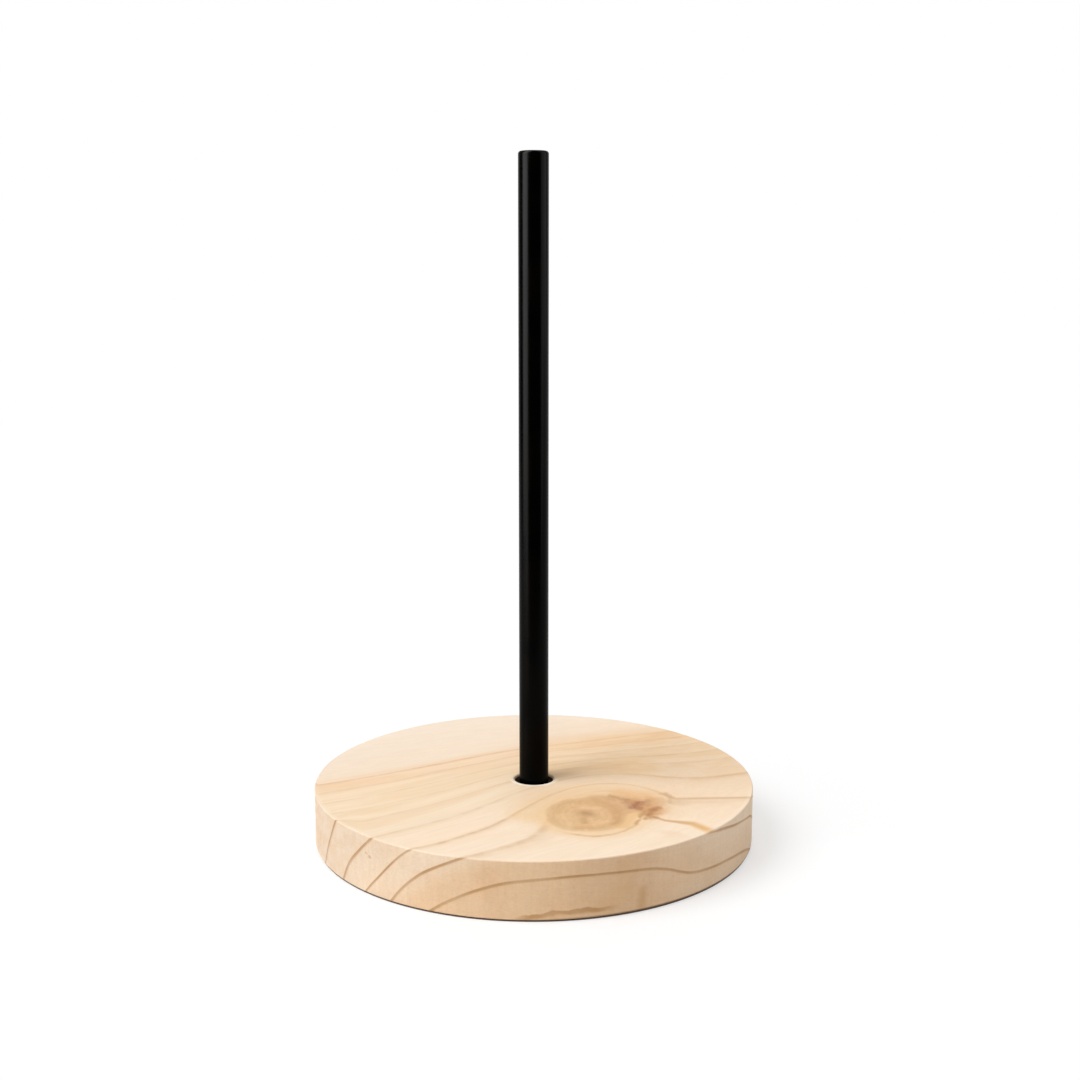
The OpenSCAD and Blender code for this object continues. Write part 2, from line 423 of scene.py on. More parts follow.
def turn_piece(name, outline, steps, material):
    profile = bpy.data.meshes.new(name)
    profile.from_pydata(outline, [(i, i + 1) for i in range(len(outline) - 1)], [])
    piece = bpy.data.objects.new(name, profile)
    bpy.context.scene.collection.objects.link(piece)
    lathe = piece.modifiers.new("lathe", "NODES")
    lathe.node_group = LATHE
    set_input(lathe, "Turn Steps", steps)
    set_input(lathe, "Finish", material)
    evaluated = piece.evaluated_get(bpy.context.evaluated_depsgraph_get())
    turned = bpy.data.meshes.new_from_object(evaluated)
    piece.modifiers.remove(lathe)
    piece.data = turned
    work = bmesh.new()
    work.from_mesh(turned)
    bmesh.ops.recalc_face_normals(work, faces=work.faces)
    open_edges = sum(1 for edge in work.edges if not edge.is_manifold)
    volume = work.calc_volume(signed=True)
    work.to_mesh(turned)
    work.free()
    turned.shade_smooth()
    turned.set_sharp_from_angle(angle=SHARP_ANGLE)
    print(name, len(turned.polygons), "faces,", open_edges, "open edges,", round(volume / CM3, 2), "cm3")
    return piece


# %% [markdown]
# ## Pine, step 1: where the rings run
#
# A pine board is sawn out of a trunk, so its pattern isn't painted on: it is a solid one, and every face
# cuts through it. The growth rings are tubes about the pith, which here lies in front of the base and
# below the table. A branch grew out of that trunk, and each year's ring wrapped round both. A smooth
# minimum of the two distances, to the pith and to the branch's axis, is just such a skin. Its contour
# lines sweep round the knot on the top and come down the side wall as arcs, without a picture.

# %% Ring radius
GRAIN_ANGLE = math.radians(32.2)
PITH_ACROSS = -64.6
PITH_HEIGHT = -32.9
PITH_FALL = -0.109
FAN = 0.0018
FAN_FROM = -10.0
BRANCH_PLACE = (4.1, -26.6, 15.5)
BRANCH_AXIS = Vector((0.976, 0.33, 1.0)).normalized()
BRANCH_START = 42.5
BRANCH_GROWTH = 1.476
CROTCH_SQUEEZE = 1.286
COLLAR_SOFT = 58.4
COLLAR_TIGHT = 40.0
COLLAR_FROM = 2.3
COLLAR_TO = 32.3


def off_axis(desk, offset, axis):
    """The part of an offset that is square to an axis."""
    along = desk.vector_math("DOT_PRODUCT", offset, axis)
    on_axis = desk.vector_math("MULTIPLY", tuple(axis), desk.join(along, along, along))
    return desk.vector_math("SUBTRACT", offset, on_axis)


def ring_radius(desk, place):
    """How far out in the trunk a point grew, and the point's place along and round the pith."""
    turn = desk.put("ShaderNodeMapping", {"Vector": place, "Rotation": (0, 0, -GRAIN_ANGLE)})
    along, across, height = desk.split(turn.outputs[0])
    beyond = desk.math("MAXIMUM", desk.math("SUBTRACT", across, FAN_FROM), 0.0)
    across = desk.plus(across, desk.times(along, beyond, FAN))
    pith_height = desk.math("MULTIPLY_ADD", along, PITH_FALL, PITH_HEIGHT)
    out = desk.math("SUBTRACT", across, PITH_ACROSS)
    up = desk.math("SUBTRACT", height, pith_height)
    trunk = desk.length(0.0, out, up)
    offset = desk.vector_math("SUBTRACT", desk.join(along, across, height), BRANCH_PLACE)
    away_along, away_across, away_up = desk.split(off_axis(desk, offset, BRANCH_AXIS))
    squeezed = desk.math("MAXIMUM", desk.times(away_along, CROTCH_SQUEEZE), away_along)
    reach = desk.length(squeezed, away_across, away_up)
    branch = desk.math("MULTIPLY_ADD", reach, BRANCH_GROWTH, BRANCH_START)
    collar = desk.rise(along, COLLAR_FROM, COLLAR_TO, COLLAR_SOFT, COLLAR_TIGHT)
    radius = desk.math("SMOOTH_MIN", trunk, branch, collar)
    round_pith = desk.times(desk.math("ARCTAN2", up, out), radius)
    return radius, along, round_pith


# %% [markdown]
# ## Pine, step 2: one ring after another
#
# No two years are alike, so the rings have radii of their own. A curve turns the radius into a ring
# number: the whole part counts the years and the rest says how far through its year the wood is. Spring
# wood is pale, it darkens towards autumn, and winter ends it sharply. That gives each line its soft inner
# and hard outer edge. On the sanded top the lines are soft and broken, and fainter at the left. The front
# of the side wall cuts the rings more squarely, so there they are finer and darker. Of the rings nearest
# the pith only a short stretch shows, low on the front.

# %% Ring lines
RING_RADII = [20.0, 33.9, 42.3, 50.8, 57.0, 65.6, 74.0, 79.5, 85.8, 92.2, 97.8, 104.0, 112.0]
RADIUS_SPAN = 130.0
TOP_STRENGTHS = [(0.0, 0.60), (48.0, 0.60), (51.0, 0.54), (55.0, 0.70), (57.2, 0.86), (60.0, 0.64),
                 (66.5, 0.66), (69.0, 0.36), (75.0, 0.50), (79.6, 0.58), (82.0, 0.38), (92.0, 0.48),
                 (97.7, 0.70), (99.5, 0.03), (130.0, 0.0)]
TOP_LEFT_SHARES = [(0.0, 0.95), (52.0, 0.95), (56.0, 0.85), (58.0, 0.85), (62.0, 0.5), (66.0, 0.5),
                   (74.5, 0.42), (80.0, 0.52), (92.0, 0.75), (130.0, 0.75)]
WALL_STRENGTHS = [(0.0, 0.68), (44.0, 0.68), (52.0, 0.80), (74.5, 0.80), (75.5, 0.02), (130.0, 0.0)]
TOP_YEAR = [(0.0, 0.55), (0.05, 0.1), (0.1, 0.0), (0.62, 0.0), (0.80, 0.12), (0.90, 0.5), (0.96, 1.0),
            (1.0, 0.8)]
WALL_YEAR = [(0.0, 0.3), (0.02, 0.0), (0.84, 0.0), (0.90, 0.10), (0.94, 0.9), (0.985, 1.0), (1.0, 0.7)]
LINE_BREAKS = (0.25, 3.0, 0.35, 0.6, 0.65, 1.0)
LINE_PATCHES = (0.09, 2.0, 0.3, 0.65, 0.7, 1.0)
LINE_LEFT = (-12, 12)
LINE_FRONT = (-12, -3)
CORE_RING = 37.5
CORE_SOFT = 1.0
CORE_LEFT = (-6.0, 0.0)
CORE_RIGHT = (15.0, 22.0)


def by_radius(desk, radius, stops):
    """A colour for each ring radius."""
    share = desk.math("DIVIDE", radius, RADIUS_SPAN)
    return desk.ramp(share, [(ring / RADIUS_SPAN, colour) for ring, colour in stops])


def ring_number(desk, radius):
    share = desk.math("DIVIDE", radius, RADIUS_SPAN)
    curve = desk.put("ShaderNodeFloatCurve", {"Value": share})
    last_ring = len(RING_RADII) + 1
    for number, ring in enumerate(RING_RADII, start=1):
        mark = curve.mapping.curves[0].points.new(ring / RADIUS_SPAN, number / last_ring)
        mark.handle_type = "VECTOR"
    curve.mapping.update()
    return desk.times(curve.outputs[0], last_ring)


def ring_lines(desk, place, radius, on_wall):
    """How strongly the end of a year shows at a point, from 0 to 1."""
    x, y, _ = desk.split(place)
    year = desk.math("FRACT", ring_number(desk, radius))
    lines = []
    for profile, strengths in ((TOP_YEAR, TOP_STRENGTHS), (WALL_YEAR, WALL_STRENGTHS)):
        line = desk.ramp(year, greys(profile))
        lines.append(desk.mix(1.0, line, by_radius(desk, radius, greys(strengths)), "MULTIPLY"))
    line = desk.mix(desk.times(on_wall, desk.fall(y, *LINE_FRONT)), *lines)
    left_share = by_radius(desk, radius, greys(TOP_LEFT_SHARES))
    top_share = desk.mix(desk.rise(x, *LINE_LEFT), left_share, grey(1.0))
    top_share = desk.times(top_share, desk.patches(place, *LINE_BREAKS))
    share = desk.mix(on_wall, top_share, grey(1.0))
    core_stretch = desk.times(desk.rise(x, *CORE_LEFT), desk.fall(x, *CORE_RIGHT))
    beyond_core = desk.rise(radius, CORE_RING - CORE_SOFT, CORE_RING + CORE_SOFT)
    shown = desk.math("MAXIMUM", beyond_core, core_stretch)
    return desk.times(line, desk.patches(place, *LINE_PATCHES), share, shown)


# %% [markdown]
# ## Pine, step 3: the knot
#
# The knot is the branch itself, cut across: browner wood with close rings of its own, a dark heart and a
# soft edge, and a collar round it. At its upper right the bark was trapped in the crotch, which left a
# broken dark spot, a tan cloud above it, and a resin-stained line that runs to the rim. Each of these
# marks is a distance: to an oval's centre, or to a stroke between two points. Noise frays them.

# %% Ovals, strokes and brushes
FRAY_DETAIL = 4.0


def oval_share(desk, place, centre, size, squareness=2.0):
    """The distance from an oval's centre as seen from above, as a share: 1 is the oval's outline."""
    offset = desk.vector_math("SUBTRACT", place, (*centre, 0.0))
    x, y, _ = desk.split(desk.vector_math("DIVIDE", offset, (*size, 1.0)))
    across = desk.math("POWER", desk.math("ABSOLUTE", x), squareness)
    along = desk.math("POWER", desk.math("ABSOLUTE", y), squareness)
    return desk.math("POWER", desk.plus(across, along), 1 / squareness)


def stroke_distance(desk, place, start, end):
    """The distance, by a place's first two measures, from a stroke between two points."""
    first = Vector((*start, 0.0))
    run = Vector((*end, 0.0)) - first
    flat = desk.vector_math("MULTIPLY", place, (1.0, 1.0, 0.0))
    offset = desk.vector_math("SUBTRACT", flat, tuple(first))
    share = desk.vector_math("DOT_PRODUCT", offset, tuple(run / run.length_squared))
    share = desk.math("MINIMUM", desk.math("MAXIMUM", share, 0.0), 1.0)
    nearest = desk.vector_math("MULTIPLY", tuple(run), desk.join(share, share, share))
    return desk.vector_math("LENGTH", desk.vector_math("SUBTRACT", offset, nearest))


def bent_distance(desk, place, bends):
    """The distance from a line of strokes."""
    nearest, *others = [stroke_distance(desk, place, *ends) for ends in zip(bends, bends[1:])]
    for distance in others:
        nearest = desk.math("MINIMUM", nearest, distance)
    return nearest


def brush(desk, colour, distance, full, end, tint, strength):
    """Paints a tint over a colour, at its strength up to a full distance and fading to an end distance."""
    return desk.mix(desk.rise(distance, full, end, strength, 0.0), colour, screen_colour(*tint))


def frayed(desk, place, drawn, fineness, depth):
    """Noise up to a depth either way, in millimetres, drawn out from front to back."""
    stretched = desk.vector_math("MULTIPLY", place, (1.0, drawn, 1.0))
    return desk.shake(stretched, fineness, FRAY_DETAIL, depth)


def paint_marks(desk, colour, place, marks, fray):
    """Brushes frayed strokes over a colour. A mark has two ends, a reach, a tint and a strength."""
    for start, end, reach, tint, strength in marks:
        distance = desk.plus(stroke_distance(desk, place, start, end), fray)
        colour = brush(desk, colour, distance, 0.0, reach, tint, strength)
    return colour


# %% Warm wood and collar
GLOW_OVAL = ((15.5, -22.5), (22.0, 19.0))
GLOW_BRUSH = (0.6, 1.25, (233, 199, 153), 0.58)
CLOUD = ((-3.5, -29.5), (3.5, -32.0))
CLOUD_BRUSH = (0.5, 5.5, (240, 206, 156), 0.45)
GOLD_BAND = ((25.6, -27.5), (22.4, -36.5))
GOLD_BAND_BRUSH = (0.5, 3.2, (230, 189, 136), 0.7)
COLLAR_OVAL = ((14.6, -28.9), (13.0, 15.0), 1.85)
COLLAR_TINT = (240, 208, 163)
COLLAR_BRUSH = (0.9, 1.3, COLLAR_TINT, 0.6)
COLLAR_LINE = (200, 154, 102)
COLLAR_LINE_WIDTH = 0.07
COLLAR_LOW = (-33.0, -26.0, 1.0, 0.2)
COLLAR_LEFT = (5.0, 15.0)


def add_collar(desk, colour, place, waver, broken):
    """Lays the warm wood about the knot, its collar and the collar's line over the wood's colour."""
    x, y, _ = desk.split(place)
    colour = brush(desk, colour, oval_share(desk, place, *GLOW_OVAL), *GLOW_BRUSH)
    colour = brush(desk, colour, stroke_distance(desk, place, *CLOUD), *CLOUD_BRUSH)
    collar = desk.plus(oval_share(desk, place, *COLLAR_OVAL), waver)
    colour = brush(desk, colour, collar, *COLLAR_BRUSH)
    colour = brush(desk, colour, stroke_distance(desk, place, *GOLD_BAND), *GOLD_BAND_BRUSH)
    off_line = desk.math("ABSOLUTE", desk.math("SUBTRACT", collar, 1.0))
    strength = desk.times(desk.rise(y, *COLLAR_LOW), desk.rise(x, *COLLAR_LEFT), broken)
    return brush(desk, colour, off_line, 0.0, COLLAR_LINE_WIDTH, COLLAR_LINE, strength)


# %% Knot
KNOT_OVAL = ((13.6, -28.6), (10.3, 11.9), 2.3)
KNOT_WAVER = (0.16, 3.0, 0.1)
KNOT_BREAKS = (0.2, 2.0, 0.35, 0.6, 0.35, 0.8)
KNOT_TINTS = [(0.0, (219, 181, 136)), (0.6, (222, 184, 138)), (0.85, (216, 176, 128)),
              (1.0, (212, 171, 122))]
KNOT_FRAY = (0.4, 0.5, 1.4)
KNOT_FIBRES = (0.0, 0.6, 0.0, 0.35)
KNOT_RINGS = 6.3
KNOT_RING_CUT = (0.1, 1.0, 0.0, 0.16)
KNOT_LINE = (190, 142, 96)
KNOT_MARKS = [
    ((17.5, -18.0), (21.8, -24.5), 5.2, (205, 160, 114), 0.65),
    ((23.0, -25.0), (20.6, -35.0), 2.6, (200, 152, 105), 0.65),
    ((6.5, -30.0), (9.0, -36.0), 4.0, (229, 197, 152), 0.60),
    ((13.2, -23.6), (16.4, -23.8), 2.2, (232, 200, 154), 0.70),
    ((16.2, -34.2), (18.8, -33.2), 2.0, (232, 197, 148), 0.55),
    ((10.2, -37.6), (15.0, -37.6), 1.0, (214, 166, 108), 0.40),
    ((13.4, -27.2), (14.2, -28.8), 3.6, (192, 146, 105), 0.72),
    ((13.6, -27.4), (14.4, -28.2), 1.4, (176, 128, 90), 0.50),
    ((12.8, -31.8), (12.9, -34.2), 1.5, (192, 148, 104), 0.55),
]
MOTTLE_FRAY = (0.3, 1.1, 1.0)
MOTTLE_CUT = (-0.1, 0.5, 0.0, 0.22)
MOTTLE_TINT = (193, 147, 102)
KNOT_FADE = (0.80, 1.10, 0.92, 0.0)
KNOT_RIM = 0.95
KNOT_RIM_WIDTH = 0.1
KNOT_RIM_STRENGTH = 0.15


def add_knot(desk, colour, place):
    """Lays the knot and what surrounds it over the wood's colour."""
    waver = desk.shake(place, *KNOT_WAVER)
    broken = desk.patches(place, *KNOT_BREAKS)
    colour = add_collar(desk, colour, place, waver, broken)
    knot = desk.plus(oval_share(desk, place, *KNOT_OVAL), waver)
    wood = desk.ramp(knot, tints(KNOT_TINTS))
    fray = frayed(desk, place, *KNOT_FRAY)
    wood = desk.mix(desk.rise(fray, *KNOT_FIBRES), wood, screen_colour(*COLLAR_TINT))
    rings = desk.math("SINE", desk.times(knot, 2 * math.pi * KNOT_RINGS))
    ring_share = desk.times(desk.rise(rings, *KNOT_RING_CUT), broken)
    wood = desk.mix(ring_share, wood, screen_colour(*KNOT_LINE))
    wood = paint_marks(desk, wood, place, KNOT_MARKS, fray)
    mottle = desk.rise(frayed(desk, place, *MOTTLE_FRAY), *MOTTLE_CUT)
    wood = desk.mix(mottle, wood, screen_colour(*MOTTLE_TINT))
    colour = desk.mix(desk.rise(knot, *KNOT_FADE), colour, wood)
    off_rim = desk.math("ABSOLUTE", desk.math("SUBTRACT", knot, KNOT_RIM))
    strength = desk.times(broken, KNOT_RIM_STRENGTH)
    return brush(desk, colour, off_rim, 0.0, KNOT_RIM_WIDTH, KNOT_LINE, strength)


# %% Bark
STAINS = [
    ((23.5, -12.6), (30.5, -15.2), 6.0, (229, 184, 129), 0.62),
    ((10.0, -18.4), (16.5, -16.8), 3.4, (212, 170, 122), 0.45),
    ((16.0, -16.2), (22.5, -16.4), 4.2, (204, 160, 114), 0.60),
    ((20.5, -17.5), (24.2, -26.0), 3.4, (208, 165, 121), 0.75),
    ((33.0, -18.8), (38.6, -19.4), 4.4, (220, 190, 156), 0.60),
    ((31.0, -18.0), (32.4, -25.0), 4.6, (215, 169, 120), 0.80),
    ((26.0, -18.6), (30.2, -27.6), 4.6, (205, 154, 104), 0.92),
    ((29.6, -27.6), (29.8, -30.4), 3.0, (206, 160, 115), 0.70),
]
STAIN_FRAY = (1.0, 0.45, 1.5)
BARK_STROKES = [
    ((20.4, -14.6), (23.8, -17.2), 1.8, (192, 148, 106), 0.60),
    ((24.3, -17.8), (25.2, -23.8), 2.0, (186, 136, 100), 0.65),
    ((27.4, -19.6), (26.2, -23.4), 2.0, (158, 102, 74), 0.80),
    ((28.9, -19.2), (28.2, -21.6), 1.2, (170, 118, 88), 0.60),
    ((27.9, -23.4), (27.4, -24.8), 1.3, (160, 110, 80), 0.65),
    ((30.2, -18.0), (29.8, -22.0), 1.5, (186, 138, 100), 0.60),
    ((32.4, -23.6), (31.0, -25.0), 2.0, (174, 120, 82), 0.75),
    ((31.4, -25.0), (29.7, -28.8), 1.4, (180, 126, 82), 0.70),
    ((28.9, -26.2), (27.4, -30.2), 1.0, (186, 138, 90), 0.48),
    ((29.6, -28.4), (28.5, -31.8), 1.0, (182, 132, 84), 0.48),
    ((30.4, -30.0), (31.4, -30.9), 1.5, (188, 140, 98), 0.60),
    ((35.4, -12.6), (36.6, -15.9), 1.5, (200, 158, 118), 0.55),
    ((36.1, -17.6), (35.9, -20.2), 1.0, (206, 172, 134), 0.50),
]
BARK_FRAY = (0.3, 1.5, 0.8)


def add_bark(desk, colour, place):
    """Lays the stains round the crotch, and then the trapped bark, over the wood's colour."""
    colour = paint_marks(desk, colour, place, STAINS, frayed(desk, place, *STAIN_FRAY))
    return paint_marks(desk, colour, place, BARK_STROKES, frayed(desk, place, *BARK_FRAY))


# %% Resin
RESIN = [(30.8, -30.4), (33.6, -32.9), (40.3, -35.2), (44.6, -40.6)]
RESIN_START = screen_colour(200, 156, 106)
RESIN_END = screen_colour(226, 174, 98)
RESIN_WIDTHS = (1.0, 2.6)
RESIN_CORE = 0.2
RESIN_STRENGTH = 0.8


def add_resin(desk, colour, place):
    """A line that starts thin and brown and ends broad and orange."""
    x, _, _ = desk.split(place)
    run = desk.rise(x, RESIN[0][0], RESIN[-1][0])
    width = desk.rise(run, 0, 1, *RESIN_WIDTHS)
    strength = desk.rise(bent_distance(desk, place, RESIN), RESIN_CORE, width, RESIN_STRENGTH, 0.0)
    return desk.mix(strength, colour, desk.mix(run, RESIN_START, RESIN_END))


# %% [markdown]
# ## Pine, step 4: colour, fibres and feel
#
# Now the layers come together. The rings wander a little, and they have waves of their own along the
# front of the side wall. The pale wood shifts slowly with the radius: warm near the pith, straw further
# out, and almost white beyond the last ring. Fibres are noise drawn out along the grain, so they show as
# streaks on the top and as specks on the end grain. The side wall also keeps the fuzz of the saw, which
# runs up and down. Some colours here are painted light and shade: the right end of the side wall is
# paler and its left end has a painted sheen, a band of the wall has a painted shade, a painted shade
# runs along its foot at the right front, the fronts of both rims get a painted highlight, and the hole's
# wall gets a painted shade below its mouth. On the top, one warm patch is a painted shade where the
# spindle's shadow falls.

# %% Sizes of the base
RIM_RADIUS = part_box("base")[1].x / MM
TOP_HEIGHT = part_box("base")[1].z / MM
BASE_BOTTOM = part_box("base")[0].z / MM
ROD_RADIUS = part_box("spindle_rod")[1].x / MM
MOUTH_GAP = 1.3
HOLE_RADIUS = ROD_RADIUS + MOUTH_GAP
print("the base's mouth is", round(2 * HOLE_RADIUS, 2), "mm wide round a rod of", round(2 * ROD_RADIUS, 2))

# %% Ring wander
RING_WANDER = (0.05, 2.0, 0.35)
CORE_RAGGED = (0.22, 2.0, 0.9)
CORE_FADE = (CORE_RING, CORE_RING + 3)
FRONT_WAVE = [(-20, 0.0), (-10, -0.3), (2, -0.4), (15, -0.9), (23, -1.2), (30, -1.15), (34.5, -0.2),
              (38.5, 1.0), (43, 1.1), (48, 0.4), (52, -0.4), (57, -1.3)]
FRONT_WAVE_TOP = (TOP_HEIGHT - 5, TOP_HEIGHT)
RIM_WAVE = [(-60, -2.1), (-50, -2.1), (-44, 0.9), (-33, 0.8), (-21, 0.7), (-8, 0.0)]
FOOT_WAVE = [(-60, -2.1), (-54, -2.1), (-49, -0.8), (-43, -1.1), (-37, 0.1), (-27, -0.4), (-15, 0.0)]
WAVE_LIMIT = 2.2
LEFT_WAVE_FRONT = (-10, 5)
LEFT_WAVE_STARTS = (-51, -42, RIM_RADIUS - 0.8, 42.0)


def wave_by_x(desk, x, wave):
    """A shift in millimetres for each place across the base."""
    span = 2 * RIM_RADIUS
    share = desk.math("MULTIPLY_ADD", x, 1 / span, 0.5)
    stops = [((at + RIM_RADIUS) / span, 0.5 + shift / (2 * WAVE_LIMIT)) for at, shift in wave]
    curve = desk.ramp(share, greys(stops), "CARDINAL")
    return desk.math("MULTIPLY_ADD", curve, 2 * WAVE_LIMIT, -WAVE_LIMIT)


def left_wave(desk, x, y, height):
    """A shift at the left front. It goes from one wave at the foot to another at the rim."""
    thickness = TOP_HEIGHT - BASE_BOTTOM
    up = desk.math("MULTIPLY_ADD", height, 1 / thickness, -BASE_BOTTOM / thickness)
    shift = desk.mix(up, wave_by_x(desk, x, FOOT_WAVE), wave_by_x(desk, x, RIM_WAVE))
    outside = desk.rise(desk.length(x, y, 0.0), desk.rise(x, *LEFT_WAVE_STARTS), RIM_RADIUS)
    return desk.times(shift, outside, desk.fall(y, *LEFT_WAVE_FRONT))


def wandering(desk, radius, place):
    """The ring radius with slow wandering, waves in the front of the side wall and a ragged core."""
    x, y, height = desk.split(place)
    front = desk.times(wave_by_x(desk, x, FRONT_WAVE), desk.fall(height, *FRONT_WAVE_TOP))
    ragged = desk.times(desk.shake(place, *CORE_RAGGED), desk.fall(radius, *CORE_FADE))
    wander = desk.shake(place, *RING_WANDER)
    return desk.plus(radius, wander, front, left_wave(desk, x, y, height), ragged)


# %% Plain wood
TOP_TINTS = [(0.0, (244, 216, 182)), (41.0, (247, 222, 192)), (47.0, (248, 230, 208)),
             (58.0, (249, 229, 206)), (66.0, (246, 227, 203)), (76.0, (246, 226, 199)),
             (86.0, (246, 225, 197)), (97.0, (245, 219, 190)), (101.0, (245, 227, 207)),
             (130.0, (245, 230, 213))]
WALL_TINTS = [(0.0, (240, 207, 170)), (46.0, (242, 211, 176)), (52.0, (248, 227, 203)),
              (58.0, (246, 225, 201)), (66.0, (240, 220, 198)), (76.0, (237, 217, 193)),
              (97.0, (239, 215, 186)), (101.0, (244, 227, 208)), (130.0, (245, 230, 212))]
# Painted light: the right end of the side wall is mixed towards a paler, cooler tint.
RIGHT_LIGHT_END = (22, 48, 0.0, 0.42)
RIGHT_LIGHT_TINT = screen_colour(250, 235, 217)
# Painted sheen: the far left end of the side wall is mixed towards a paler, greyer tint.
LEFT_SHEEN_END = (-59, -44, 0.7, 0.0)
LEFT_SHEEN_TINT = screen_colour(235, 217, 201)
TOP_LATE = screen_colour(206, 158, 92)
WALL_LATE = screen_colour(178, 122, 44)


def plain_wood(desk, x, radius, lines, on_wall):
    """The wood's pale colour, with painted light at the right end and a painted sheen at the left end of
    the side wall, without its ring lines and with them.
    """
    on_faces = [by_radius(desk, radius, tints(stops)) for stops in (TOP_TINTS, WALL_TINTS)]
    pale = desk.mix(on_wall, *on_faces)
    # Painted light at the right end of the wall, and a painted sheen at its left end.
    for wall_end, tint in ((RIGHT_LIGHT_END, RIGHT_LIGHT_TINT), (LEFT_SHEEN_END, LEFT_SHEEN_TINT)):
        pale = desk.mix(desk.times(desk.rise(x, *wall_end), on_wall), pale, tint)
    return pale, desk.mix(lines, pale, desk.mix(on_wall, TOP_LATE, WALL_LATE))


# %% Top face
KINK = [(34.0, -12.9), (37.2, -16.8), (60.0, -15.8)]
KINK_TINT = (208, 168, 120)
KINK_BRUSH = (0.1, 1.2, KINK_TINT, 0.55)
BARE_REACH = (1.5, 4.0)
BARE_RESIN = 4.0
TAN_OVAL = ((35.0, 11.0), (52.0, 49.0))
TAN_BRUSH = (0.25, 1.15, (231, 200, 164), 0.46)
BROAD_STROKES = [
    ((6.0, 30.5), (50.0, 43.0), 1.0, 10.0, (238, 205, 163), 0.45),
    # Painted shade: a warm, darker stroke where the spindle's shadow falls on the top.
    ((6.0, 6.0), (28.0, 10.0), 2.0, 11.0, (240, 203, 152), 0.4),
    ((38.5, -17.6), (60.0, -16.6), 0.2, 3.0, KINK_TINT, 0.22),
]


def marked_top(desk, place, pale, plain):
    """The top face: bare of rings by the kink and the resin, with warm patches, a painted shade, the knot
    and the bark.
    """
    off_resin = desk.math("SUBTRACT", bent_distance(desk, place, RESIN), BARE_RESIN)
    bare = desk.math("MINIMUM", stroke_distance(desk, place, *KINK[1:]), off_resin)
    top = desk.mix(desk.fall(bare, *BARE_REACH), plain, pale)
    top = brush(desk, top, oval_share(desk, place, *TAN_OVAL), *TAN_BRUSH)
    for start, end, *paint in BROAD_STROKES:
        top = brush(desk, top, stroke_distance(desk, place, start, end), *paint)
    top = brush(desk, top, bent_distance(desk, place, KINK), *KINK_BRUSH)
    for add_layer in (add_resin, add_knot, add_bark):
        top = add_layer(desk, top, place)
    return top


# %% Side wall
WALL_SPECKS = (0.9, 3.0, 0.60, 0.76, 0.0, 0.2)
SPECK_TINT = screen_colour(196, 150, 108)
# Painted shade: the side wall is darkened in a band about SHADE_CENTRE mm to the right of the axis.
SHADE_CENTRE = 21.0
SHADE_REACH = (3.0, 17.0, 0.38, 0.0)
SHADE_TINT = screen_colour(228, 222, 218)
WALL_FRONT = (-20, 0)
WALL_MARKS = [
    ((17.0, 3.4), (22.0, 7.0), 4.5, (226, 186, 134), 0.30),
    ((26.2, 1.6), (26.5, 5.6), 1.9, (205, 160, 104), 0.45),
    ((-42.0, 10.9), (-41.8, 10.8), 0.5, (196, 146, 98), 0.55),
    ((-41.0, 10.3), (-40.8, 10.1), 0.55, (196, 146, 98), 0.60),
]
WALL_FRAY = (1.0, 1.0, 0.4)
# Painted shade along the foot of the side wall at the right front, where the base meets the table.
FOOT_SHADE_HEIGHTS = (BASE_BOTTOM + 0.25, BASE_BOTTOM + 0.55, 0.85, 0.0)
FOOT_SHADE_ACROSS = (-10, 30)
FOOT_SHADE_TINT = screen_colour(136, 104, 80)
WALL_PATCHES = (0.07, 3.0, 0.45, 0.7, 0.0, 0.18)
PATCH_TINT = screen_colour(232, 202, 168)


def add_wall_marks(desk, colour, place, on_wall):
    """Lays specks, a painted shade, a few marks, a painted shade along the foot and slow patches over the
    side wall.
    """
    x, y, height = desk.split(place)
    speck = desk.times(desk.patches(place, *WALL_SPECKS), on_wall)
    colour = desk.mix(speck, colour, SPECK_TINT)
    # Painted shade on the side wall.
    off_centre = desk.math("ABSOLUTE", desk.math("SUBTRACT", x, SHADE_CENTRE))
    shaded = desk.times(desk.rise(off_centre, *SHADE_REACH), on_wall)
    colour = desk.mix(shaded, colour, SHADE_TINT, "MULTIPLY")
    on_front = desk.times(on_wall, desk.fall(y, *WALL_FRONT))
    fray = frayed(desk, place, *WALL_FRAY)
    marked = paint_marks(desk, colour, desk.join(x, height, 0.0), WALL_MARKS, fray)
    colour = desk.mix(on_front, colour, marked)
    # Painted shade along the foot at the right front.
    foot_shade = desk.times(desk.rise(height, *FOOT_SHADE_HEIGHTS), on_front, desk.rise(x, *FOOT_SHADE_ACROSS))
    colour = desk.mix(foot_shade, colour, FOOT_SHADE_TINT)
    patch = desk.times(desk.patches(place, *WALL_PATCHES), on_wall)
    return desk.mix(patch, colour, PATCH_TINT, "MULTIPLY")


# %% Edges
# Painted highlights: the fronts of the outer rim and of the hole's rim are mixed towards a pale tint.
OUTER_EDGE = (RIM_RADIUS - 1.5, RIM_RADIUS - 0.4, 0.0, 0.22)
OUTER_HEIGHTS = (TOP_HEIGHT - 0.3, TOP_HEIGHT - 0.15)
OUTER_FRONT = (-25, 5)
INNER_EDGE = (HOLE_RADIUS + 1.2, HOLE_RADIUS + 1.9, 0.95, 0.0)
INNER_HEIGHTS = (TOP_HEIGHT - 0.7, TOP_HEIGHT - 0.4)
INNER_FRONT = (-4.4, 0.5)
EDGE_HIGHLIGHT_TINT = screen_colour(254, 242, 226)
